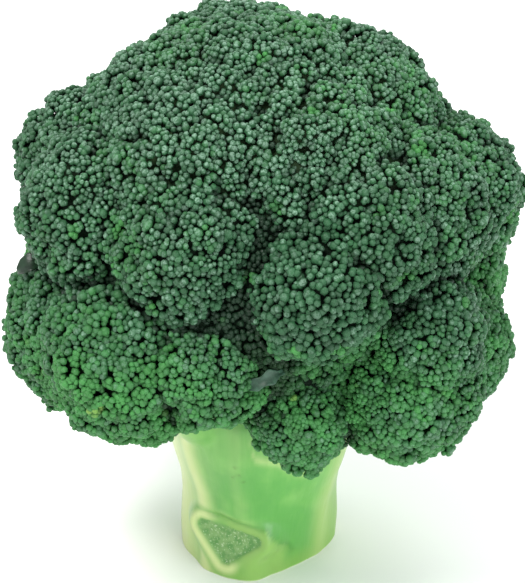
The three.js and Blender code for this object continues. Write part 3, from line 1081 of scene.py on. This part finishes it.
def scar_axes():
    """Middle, across, up and outward directions of the scar's face."""
    outward = heading(SCAR_BEARING, SCAR_LEAN)
    across = heading(SCAR_BEARING + 90, 0)
    middle = heading(SCAR_BEARING, 0) * SCAR_OUT * MM + Vector((0, 0, SCAR_HEIGHT * MM))
    return middle, across, outward.cross(across), outward


def line_distance(point, line):
    """Distance of a point from a line of straight pieces."""
    gaps = []
    for start, end in zip(line, line[1:]):
        run = Vector(end) - Vector(start)
        along = max(0.0, min(1.0, (point - Vector(start)).dot(run) / run.length_squared))
        gaps.append((point - Vector(start) - run * along).length)
    return min(gaps)


def shield_distance(point):
    """Distance outside the rounded shield of the scar, in mm, and less than 0 inside it."""
    outline = [Vector(corner) for corner in (*SCAR_CORNERS, SCAR_CORNERS[0])]
    inside = all((end - start).cross(point - start) < 0 for start, end in zip(outline, outline[1:]))
    gap = line_distance(point, outline)
    return (-gap if inside else gap) - SCAR_ROUND


def raise_ribs(vert, layers):
    """Lifts a point of the trunk onto its ribs, and marks how pale, how light, with painted light on one
    side, and how dark it is.
    """
    height, bearing = vert.co.z / MM, bearing_of(vert.co)
    radial = Vector((vert.co.x, vert.co.y, 0))
    on_trunk = smooth(*TRUNK_EDGE, radial.length / MM - stalk_reach(height, bearing))
    on_trunk *= 1 - smooth(*TRUNK_TOP, height)
    lift = pale = 0.0
    for place, width, rise, paleness in RIBS:
        uneven = noise.noise(Vector((place, 0, height / RIB_UNEVEN[1])))
        wave = RIB_WAVE[0] * math.sin(height / RIB_WAVE[1] + place) + RIB_UNEVEN[0] * uneven
        rib = bell((bearing + wave - place + 180) % 360 - 180, width)
        lift += rib * rise
        pale = max(pale, rib * paleness)
    ridge = bell(height - between(AXIL_RIDGE, bearing), AXIL_WIDTH)
    ridge *= smooth(*AXIL_START, bearing) * (1 - smooth(*AXIL_END, bearing))
    lift += AXIL_LIFT * ridge
    pale = max(pale, AXIL_PALE * ridge)
    vert.co += radial.normalized() * lift * on_trunk * MM
    for place, level, radius in BLEMISHES:
        aside = math.radians(bearing - place) * radial.length / MM
        spot = 1 - smooth(BLEMISH_CORE, radius, math.hypot(aside, height - level))
        vert[layers["shade"]] = max(vert[layers["shade"]], BLEMISH_SHADE * spot)
    vert[layers["cream"]] = pale * on_trunk
    side = smooth(*LIGHT_SIDE[0], bearing) * (1 - smooth(*LIGHT_SIDE[1], bearing))
    foot = LIGHT_FOOT_SHARE * (1 - smooth(*LIGHT_FOOT, height))
    vert[layers["light"]] = min(1.0, max(side, foot))


def carve_scar(vert, layers, axes):
    """Flattens the cut of the leaf stalk, with a sunk pith, a rim and an arched groove, and marks them."""
    middle, across, up, outward = axes
    away = vert.co - middle
    side, rise, out = (away.dot(axis) / MM for axis in (across, up, outward))
    if out < SCAR_BACK or abs(side) > SCAR_SPREAD or abs(rise) > SCAR_SPREAD:
        return
    point = Vector((side, rise))
    edge = shield_distance(point)
    flat = 1 - smooth(*SCAR_FLAT, edge)
    left = 1 - smooth(*SCAR_LEFT, side + SCAR_LEFT_LEAN * rise)
    rim_values = (SCAR_RIM_WIDTH, SCAR_RIM_LIFT, SCAR_RIM_PALE)
    width, lift, paleness = (usual + gain * left for usual, gain in rim_values)
    rim = bell(edge - SCAR_RIM_AWAY, width) * lift
    groove = bell(line_distance(point, SCAR_ARCH), SCAR_GROOVE[0]) * SCAR_GROOVE[1]
    fold = bell(line_distance(point - SCAR_FOLD_AWAY, SCAR_ARCH), SCAR_FOLD[0]) * SCAR_FOLD[1]
    pith = 1 - smooth(*PITH_EDGE, edge)
    grain = sum(weight * noise.noise(vert.co * scale) for weight, scale in PITH_GRAINS)
    sunk = pith * (PITH_DEPTH + PITH_ROUGH * grain)
    vert.co += outward * (rim + fold - groove - sunk - out * flat) * MM
    band = smooth(*SCAR_BAND_TOP, between(SCAR_ARCH, side) - rise) * (1 - smooth(*SCAR_BAND_RIGHT, side))
    band *= smooth(*SCAR_BAND_LEFT, side + SCAR_BAND_LEAN * rise)
    # The fold's pale mark is a painted highlight
    marks = (
        vert[layers["cream"]] * (1 - flat),
        rim * paleness,
        fold * (1 - smooth(*SCAR_FOLD_END, side)),
        SCAR_BAND_PALE * band,
    )
    vert[layers["pith"]] = pith
    vert[layers["cream"]] = min(1.0, max(marks)) * (1 - pith)
    vert[layers["light"]] = max(vert[layers["light"]], SCAR_BAND_LIGHT * band * (1 - pith))
    line = bell(edge + PITH_LINE[0], PITH_LINE[1]) * PITH_LINE[2]
    vert[layers["shade"]] = max(vert[layers["shade"]], groove * SCAR_GROOVE_SHADE, line)


def finish_stalk(piece):
    """Raises the ribs, carves the scar, cuts the foot flat and marks what the material colours."""
    bm = bmesh.new()
    bm.from_mesh(piece.data)
    geometry = bm.verts[:] + bm.edges[:] + bm.faces[:]
    bmesh.ops.bisect_plane(bm, geom=geometry, plane_co=(0, 0, 0), plane_no=(0, 0, -1), clear_outer=True)
    layers = {name: float_layer(bm, name) for name in ("cream", "pith", "cut", "light", "shade")}
    axes = scar_axes()
    for vert in bm.verts:
        raise_ribs(vert, layers)
        carve_scar(vert, layers, axes)
        vert.co.z = max(0.0, vert.co.z)
    rim_edges = [edge for edge in bm.edges if edge.is_boundary]
    bmesh.ops.holes_fill(bm, edges=rim_edges, sides=0)
    for face in bm.faces:
        flat = all(vert.co.z < TOUCHING for vert in face.verts)
        face.smooth = not flat
        if flat:
            for vert in face.verts:
                vert[layers["cut"]] = 1.0
    for edge in rim_edges:
        edge.smooth = False
    bmesh.ops.triangulate(bm, faces=[face for face in bm.faces if len(face.verts) > 4])
    bm.to_mesh(piece.data)
    bm.free()


def stalk_material(settings):
    """Moist pale green skin with cream ribs, a yellow green edge that is painted light on the side that the
    light catches, and a rough grey green scar.
    """
    material, tree, surface = begin_material(
        "Stalk skin",
        {
            "Coat Weight": 0.15,
            "Subsurface Weight": 0.12,
            "Subsurface Radius": (0.004, 0.006, 0.002),
            "Subsurface Scale": 0.5,
        },
    )
    fibres = use_group(tree, fibre_group(), {"Across": 240.0, "Along": 16.0}).outputs["Mask"]
    patches = use_group(tree, mottle_group(), {"Scale": 55.0, "Grain": 700.0}).outputs["Mask"]
    specks = use_group(tree, mottle_group(), {"Scale": 420.0, "Grain": 1500.0})
    shade, light, cream, scar, cut = (
        painted(tree, name) for name in ("shade", "light", "cream", "pith", "cut")
    )
    green = mix_colours(tree, fibres, opaque(settings.flesh), FIBRE_GREEN)
    green = mix_colours(tree, ranged(tree, patches, 0.0, 1.0, 0.0, 0.7), green, PATCH_GREEN)
    green = mix_colours(tree, shade, green, SHADED_GREEN)
    # Painted light on the side that the light catches, with the lighter foot and the band by the scar
    edge = mix_colours(tree, light, green, opaque(settings.light))
    ribs = mix_colours(tree, cream, edge, opaque(settings.cream))
    pith = mix_colours(tree, specks.outputs["Mask"], opaque(settings.pith), PITH_GREEN)
    flecks = ranged(tree, specks.outputs["Grain"], 0.56, 0.72, 0.0, 0.8)
    scarred = mix_colours(tree, scar, ribs, mix_colours(tree, flecks, pith, PITH_FLECK))
    even, rough = (opaque([value] * 3) for value in (SKIN_ROUGHNESS, PITH_ROUGHNESS))
    ends = {
        "Base Color": mix_colours(tree, cut, scarred, CUT_FACE),
        "Roughness": mix_colours(tree, scar, even, rough),
    }
    feed(tree, surface, ends)
    add_bump(tree, surface, fibres, strength=0.25, distance=0.3 * MM)
    return material


class BROCCOLI_OT_stalk(bpy.types.Operator):
    """Build the cut stalk with its branches, ribs and leaf scar"""

    bl_idname = "broccoli.stalk"
    bl_label = "Stalk"

    def execute(self, context):
        settings = context.scene.broccoli_stalk
        bm = bmesh.new()
        trunk(bm)
        limbs = tube_mesh("limbs", branch_runs(), sides=16)
        bm.from_mesh(limbs)
        bpy.data.meshes.remove(limbs)
        piece = add_object("stalk_skin", mesh_from(bm, "stalk_skin"))
        remeshed(piece, voxel=settings.voxel, smoothing=6)
        finish_stalk(piece)
        piece.data.materials.append(stalk_material(settings))
        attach(piece, "root")
        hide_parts("stalk")
        return {"FINISHED"}


# Branchlets on the underside

# Branchlets: how many per mm of a floret's radius, how they vary, the shares of their way that they
# are drawn at, and their angles from the stem in degrees with their bow
BRANCHLET_COUNT = 0.9
BRANCHLET_WANDER = 0.25
BRANCHLET_GIRTHS = (0.9, 1.3)
BRANCHLET_STOPS = (0.0, 0.33, 0.66, 1.0)
BRANCHLET_ANGLES = (8, 62)
BRANCHLET_BOW = (0.12, 5)

# Depth under the floret's skin and radius at the foot, each with its loss up to the rim, in mm
BRANCHLET_DEPTH = (4.6, 2.0)
BRANCHLET_RADIUS = (2.6, 1.2)
BRANCHLET_COLOURS = ((0.16, 0.36, 0.08, 1), (0.34, 0.56, 0.16, 1))


def branchlet_runs(draw):
    """Slim branches that fan from each low floret's foot over its underside to the rim."""
    for _, centre, radius in low_florets(0):
        stem = (BRANCH_ROOT - centre).normalized()
        turn = stem.to_track_quat("Z", "Y")
        count = round(radius / MM * BRANCHLET_COUNT)
        for i in range(count):
            spin = math.tau * (i + draw.uniform(-BRANCHLET_WANDER, BRANCHLET_WANDER)) / count
            girth = draw.uniform(*BRANCHLET_GIRTHS)
            run = []
            for share in BRANCHLET_STOPS:
                angle = math.radians(BRANCHLET_ANGLES[0] + BRANCHLET_ANGLES[1] * share)
                bow = BRANCHLET_BOW[0] * math.sin(share * BRANCHLET_BOW[1] + i)
                flat = Vector((math.cos(spin + bow), math.sin(spin + bow), 0)) * math.sin(angle)
                out = turn @ (flat + Vector((0, 0, math.cos(angle))))
                depth, thick = (end - loss * share for end, loss in (BRANCHLET_DEPTH, BRANCHLET_RADIUS))
                run.append((centre + out * (radius - depth * MM), thick * girth * MM))
            yield run


class BROCCOLI_OT_branchlets(bpy.types.Operator):
    """Fan slim branches over the underside of the low florets"""

    bl_idname = "broccoli.branchlets"
    bl_label = "Branchlets"

    def execute(self, context):
        draw = random.Random(context.scene.broccoli_buds.seed + 1)
        mesh = tube_mesh("branchlets", branchlet_runs(draw), sides=6)
        for face in mesh.polygons:
            face.use_smooth = True
        piece = add_object("branchlets", mesh)
        material, tree, surface = begin_material("Branchlet skin", {"Roughness": 0.45})
        fibres = use_group(tree, fibre_group(), {"Across": 500.0, "Along": 60.0})
        colour = mix_colours(tree, fibres.outputs["Mask"], *BRANCHLET_COLOURS)
        feed(tree, surface, {"Base Color": colour})
        mesh.materials.append(material)
        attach(piece, "root")
        return {"FINISHED"}


# Leaves

# Each leaf: its root, the way it runs and the way it looks as bearings and rises, its distance
# out, length and arch in mm, and half widths in mm at shares of its length
LEAVES = {
    "leaf_front": {
        "node": "bract_front", "slot": "pale_leaf", "root": (7, -10.5), "out": 60.5, "along": (-63, -13),
        "facing": (0, 30), "length": 12, "arch": 3.2,
        "widths": ((0, 0.7), (0.2, 0.9), (0.42, 2.4), (0.64, 1.2), (0.85, 2.1), (1, 0.6)),
    },
    "leaf_left": {
        "node": "bract_left", "slot": "dark_leaf", "root": (-74, 1.5), "out": 64.5, "along": (-80, -14),
        "facing": (-30, 55), "length": 9.5, "arch": 3,
        "widths": ((0, 0.8), (0.2, 1.8), (0.5, 3.2), (0.8, 2.8), (1, 0.9)),
    },
}


# Fold along the midrib: its height and how sharply it rises, and the ripple that it carries, as
# height, waves along the leaf and waves across it
LEAF_FOLD = (0.5, 1.5)
LEAF_RIPPLE = (0.5, 9, 2)
LEAF_SHADE = 0.45


def leaf_blade(form, thickness):
    """Thin blade with a folded midrib and a waved edge, in its place on the crown."""
    along = heading(*form["along"])
    across = heading(*form["facing"]).cross(along).normalized()
    facing = along.cross(across)
    root = CROWN_MIDDLE + heading(*form["root"]) * form["out"] * MM
    bm = bmesh.new()
    bmesh.ops.create_grid(bm, x_segments=20, y_segments=6, size=0.5)
    for vert in bm.verts:
        share, side = vert.co.x + 0.5, vert.co.y * 2
        wide = between(form["widths"], share) * side
        ripple = 1 + LEAF_RIPPLE[0] * math.sin(LEAF_RIPPLE[1] * share + LEAF_RIPPLE[2] * side)
        fold = LEAF_FOLD[0] * abs(side) ** LEAF_FOLD[1] * ripple
        high = fold - form["arch"] * (2 * share - 1) ** 2
        vert.co = root + (along * share * form["length"] + across * wide + facing * high) * MM
    bmesh.ops.recalc_face_normals(bm, faces=bm.faces[:])
    bmesh.ops.solidify(bm, geom=bm.faces[:], thickness=thickness)
    for face in bm.faces:
        face.smooth = True
    return bm


def leaf_material(name, colour, roughness):
    material, tree, surface = begin_material(name, {"Roughness": roughness, "Specular IOR Level": 0.35})
    mottle = use_group(tree, mottle_group(), {"Scale": 300.0, "Grain": 1800.0})
    shade = opaque([channel * LEAF_SHADE for channel in colour])
    feed(tree, surface, {"Base Color": mix_colours(tree, mottle.outputs["Mask"], shade, opaque(colour))})
    add_bump(tree, surface, mottle.outputs["Grain"], strength=0.4, distance=0.15 * MM)
    return material


class BROCCOLI_OT_leaves(bpy.types.Operator):
    """Build the two small leaves in the creases"""

    bl_idname = "broccoli.leaves"
    bl_label = "Leaves"

    def execute(self, context):
        settings = context.scene.broccoli_leaves
        materials = {
            "pale_leaf": leaf_material("Pale leaf", settings.pale, 0.5),
            "dark_leaf": leaf_material("Dark leaf", settings.dark, 0.35),
        }
        for name, form in LEAVES.items():
            piece = add_object(name, mesh_from(leaf_blade(form, settings.thickness), name))
            finer = piece.modifiers.new("Finer", "SUBSURF")
            finer.levels = 1
            finer.render_levels = 1
            apply_all(piece)
            piece.data.materials.append(materials[form["slot"]])
            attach(piece, "root")
            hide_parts(form["node"])
        return {"FINISHED"}


# Stage

# Camera: the point it looks at, its rise in degrees, its distance, lens and nearest distance
CAMERA_TARGET = Vector((0.0004, 0, 0.088))
CAMERA_RISE = 30
CAMERA_DISTANCE = 0.9
CAMERA_LENS = 187
CAMERA_CLIP = 0.01

# Floor and room
FLOOR_HALF = 4
FLOOR_DROP = Vector((0, 0, -0.05)) * MM
ROOM_COLOUR = (0.95, 0.98, 1, 1)
ROOM_STRENGTH = 0.85

# Lights: place, size, the setting that gives the power, share of it, and colour
LIGHTS = {
    "key": ((-0.42, -0.36, 1.05), 0.45, "key", 1.0, (1, 0.99, 0.96)),
    "fill": ((0.65, -0.75, 0.28), 0.7, "fill", 1.25, (0.95, 1, 1)),
    "back": ((0.2, 0.7, 1.0), 0.6, "fill", 1.7, (1, 1, 1)),
}


def aim_at(item, place, target):
    item.location = place
    item.rotation_euler = (target - place).to_track_quat("-Z", "Y").to_euler()


def add_light(name, place, size, power, colour):
    lamp = bpy.data.lights.new(name, "AREA")
    lamp.shape = "DISK"
    lamp.size = size
    lamp.energy = power
    lamp.color = colour
    aim_at(add_object(name, lamp), place, CAMERA_TARGET)


class BROCCOLI_OT_stage(bpy.types.Operator):
    """Set the floor, the soft lights and the camera"""

    bl_idname = "broccoli.stage"
    bl_label = "Stage"

    def execute(self, context):
        settings = context.scene.broccoli_stage
        bm = bmesh.new()
        place = Matrix.Translation(FLOOR_DROP)
        bmesh.ops.create_grid(bm, x_segments=1, y_segments=1, size=FLOOR_HALF, matrix=place)
        floor = add_object("floor", mesh_from(bm, "floor"))
        ends = {"Roughness": 0.9, "Base Color": opaque(settings.floor)}
        floor.data.materials.append(begin_material("Floor", ends)[0])
        world = bpy.data.worlds.new("Soft room")
        world.use_nodes = True
        ends = {"Color": ROOM_COLOUR, "Strength": ROOM_STRENGTH}
        feed(world.node_tree, world.node_tree.nodes["Background"], ends)
        context.scene.world = world
        for name, (place, size, setting, share, colour) in LIGHTS.items():
            add_light(name, Vector(place), size, getattr(settings, setting) * share, colour)
        camera = add_object("camera", bpy.data.cameras.new("camera"))
        camera.data.lens = CAMERA_LENS
        camera.data.clip_start = CAMERA_CLIP
        aim_at(camera, CAMERA_TARGET + heading(0, CAMERA_RISE) * CAMERA_DISTANCE, CAMERA_TARGET)
        context.scene.camera = camera
        context.scene.view_settings.view_transform = "Standard"
        return {"FINISHED"}


class BROCCOLI_PT_panel(bpy.types.Panel):
    """Lists the pieces of the broccoli head"""

    bl_idname = "BROCCOLI_PT_panel"
    bl_label = "Broccoli"
    bl_space_type = "VIEW_3D"
    bl_region_type = "UI"
    bl_category = "Broccoli"

    def draw(self, context):
        for operator in OPERATORS:
            self.layout.operator(operator.bl_idname)


OPERATORS = (
    BROCCOLI_OT_stage,
    BROCCOLI_OT_heart,
    BROCCOLI_OT_buds,
    BROCCOLI_OT_stalk,
    BROCCOLI_OT_branchlets,
    BROCCOLI_OT_leaves,
)
SETTINGS = {
    "broccoli_buds": BudSettings,
    "broccoli_stalk": StalkSettings,
    "broccoli_leaves": LeafSettings,
    "broccoli_stage": StageSettings,
}


def register():
    for item in (*SETTINGS.values(), *OPERATORS, BROCCOLI_PT_panel):
        bpy.utils.register_class(item)
    for name, group in SETTINGS.items():
        setattr(bpy.types.Scene, name, PointerProperty(type=group))


def unregister():
    for name in SETTINGS:
        delattr(bpy.types.Scene, name)
    for item in (BROCCOLI_PT_panel, *reversed(OPERATORS), *SETTINGS.values()):
        bpy.utils.unregister_class(item)


def main():
    register()
    bpy.ops.broccoli.stage()
    bpy.ops.broccoli.heart()
    bpy.ops.broccoli.buds()
    bpy.ops.broccoli.stalk()
    bpy.ops.broccoli.branchlets()
    bpy.ops.broccoli.leaves()


if __name__ == "__main__":
    main()
